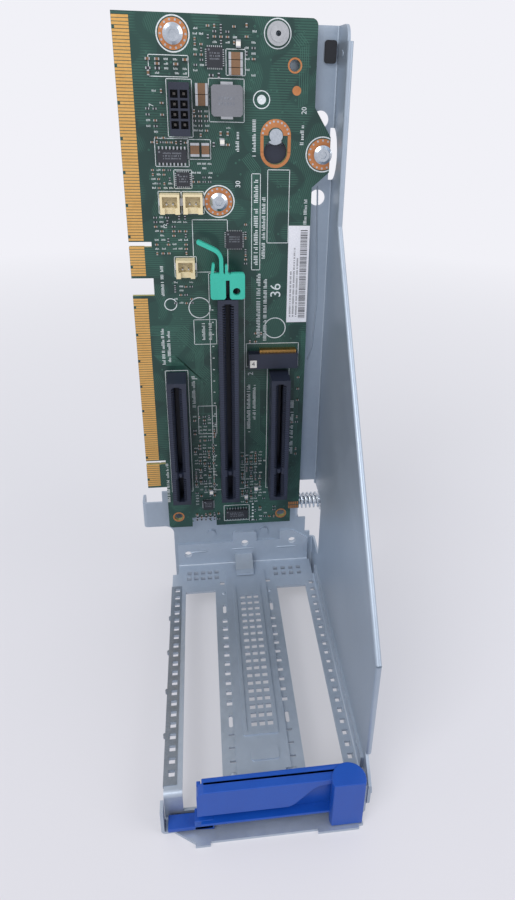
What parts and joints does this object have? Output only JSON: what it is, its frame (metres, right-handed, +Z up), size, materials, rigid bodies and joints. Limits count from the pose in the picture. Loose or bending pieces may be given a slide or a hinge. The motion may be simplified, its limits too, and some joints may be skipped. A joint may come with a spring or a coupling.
{
  "type": "riser cage bracket",
  "caption": "Folded sheet-steel riser cage with a slotted riser board, a vented rear panel with card windows, a swinging plastic bracket latch and a captive thumbscrew.",
  "frame": {"origin": "bottom centre of the whole bracket as it stands on its tray and back plate", "axes": "+Z up along the riser board, +X across the slots towards the side wall, +Y from the card side to the back plate"},
  "size_m": [0.0894, 0.1326, 0.2372],
  "materials": {
    "zinc_sheet": "zinc-coated, fine spangle, satin",
    "cover_sheet": "zinc-coated, satin",
    "spring_strip": "dark spring steel",
    "board_laminate": "solder mask over glass laminate",
    "slot_plastic": "moulded, matte",
    "contact_gold": "gold-plated",
    "teal_plastic": "moulded, semi-gloss",
    "nickel": "nickel-plated",
    "cream_plastic": "moulded, matte",
    "inductor_grey": "pressed powder",
    "solder": "tinned",
    "ceramic_brown": "fired ceramic",
    "chip_black": "moulded epoxy",
    "zinc_hardware": "zinc-plated",
    "pad_rubber": "matte",
    "label_paper": "printed film",
    "blue_plastic": "moulded, semi-gloss"
  },
  "bodies": {
    "cage": {"cage_frame": "zinc_sheet", "rear_panel": "zinc_sheet", "slot_cover": "cover_sheet", "emi_strip": "spring_strip", "riser_board": "board_laminate", "slot_left": "slot_plastic", "slot_long": "slot_plastic", "slot_right": "slot_plastic", "contacts_left": "contact_gold", "contacts_long": "contact_gold", "contacts_right": "contact_gold", "module_socket": "slot_plastic", "module_contacts": "contact_gold", "module_nut": "nickel", "power_header": "slot_plastic", "power_pins": "contact_gold", "signal_sockets": "cream_plastic", "inductor": "inductor_grey", "inductor_leads": "solder", "capacitors": "ceramic_brown", "chips": "chip_black", "chip_leads": "solder", "board_screws": "zinc_hardware", "board_standoffs": "zinc_hardware", "locating_stud": "zinc_hardware", "plate_rivets": "zinc_hardware", "wall_rivet": "zinc_hardware", "bumper_pad": "pad_rubber", "label_sticker": "label_paper", "latch_pin": "zinc_hardware", "screw_spring": "nickel"},
    "card_retainer": {"card_latch": "teal_plastic"},
    "bracket_latch": {"bracket_latch": "blue_plastic"},
    "screw_carrier": {"screw_clip": "spring_strip"},
    "thumbscrew": {"captive_screw": "zinc_hardware", "screw_knob": "nickel"}
  },
  "joints": [
    {"name": "bracket_latch_swing", "type": "hinge", "parent": "cage", "child": "bracket_latch", "pos_m": [0.02574, -0.0607, 0.0126], "axis": [0, 0, 1], "range_deg": [0, 100]},
    {"name": "card_latch_tilt", "type": "hinge", "parent": "cage", "child": "card_retainer", "pos_m": [-0.00624, 0.0478, 0.1501], "axis": [-1, 0, 0], "range_deg": [0, 20]},
    {"name": "screw_press", "type": "slide", "parent": "cage", "child": "screw_carrier", "axis": [-1, 0, 0], "range_m": [0, 0.004], "deforming": ["screw_spring"]},
    {"name": "screw_turn", "type": "hinge", "parent": "screw_carrier", "child": "thumbscrew", "pos_m": [-0.00624, 0.0603, 0.0424], "axis": [1, 0, 0], "continuous": true}
  ]
}
